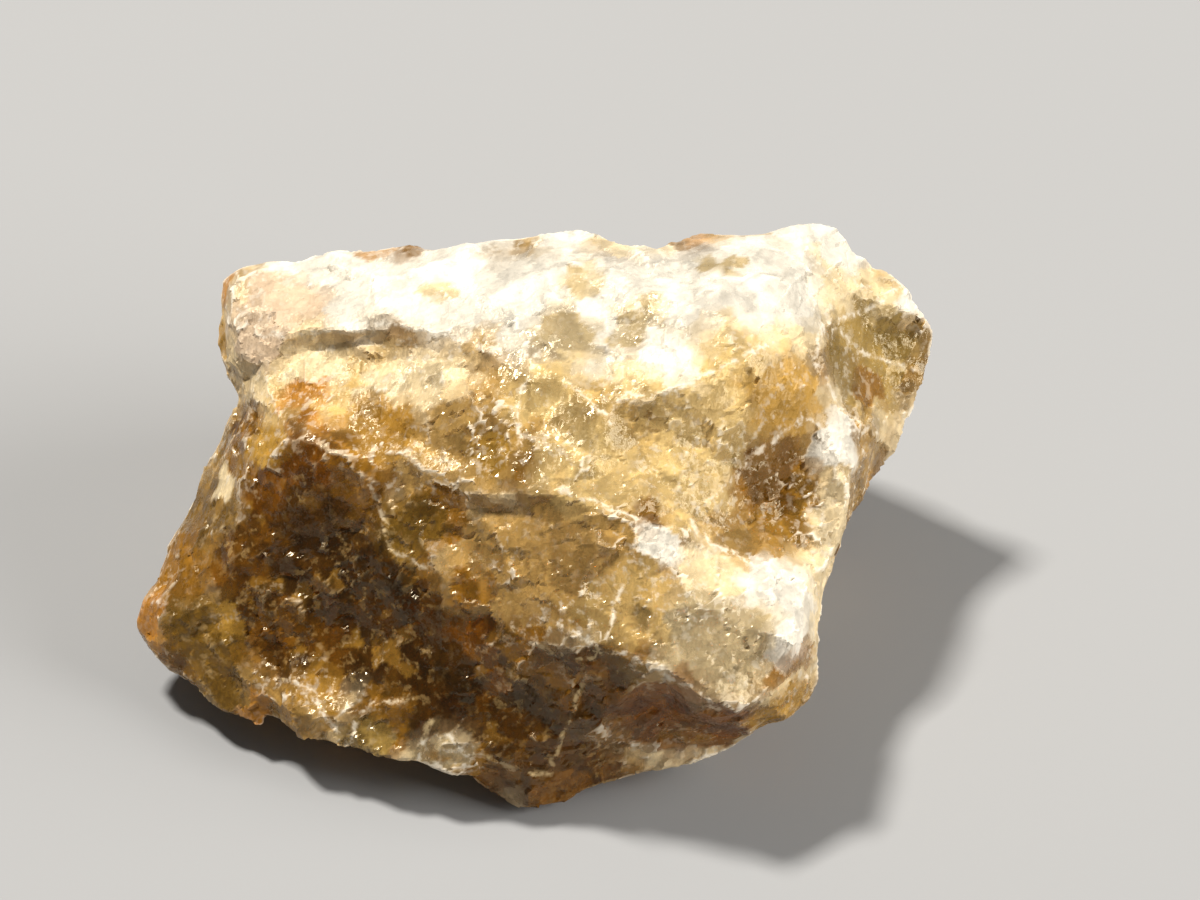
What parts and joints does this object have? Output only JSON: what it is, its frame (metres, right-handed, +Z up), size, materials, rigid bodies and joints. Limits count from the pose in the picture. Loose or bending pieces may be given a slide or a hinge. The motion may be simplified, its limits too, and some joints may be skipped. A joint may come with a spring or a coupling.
{
  "type": "herderite crystal",
  "caption": "Rough, broken, translucent honey-brown crystal lump with chipped faces, a ledged top and one flat cleavage face to rest on.",
  "frame": {"origin": "middle of the bounding box's floor, on the plane of the flat face underneath", "axes": "+X along the crystal's longest extent, to the right as seen from its broad chipped face; that face leans back and looks towards -Y and up; +Z is up"},
  "size_m": [0.0458, 0.0334, 0.022],
  "materials": {
    "herderite": "glassy, broken"
  },
  "bodies": {
    "root": {"herderite_crystal": "herderite"}
  },
  "joints": []
}
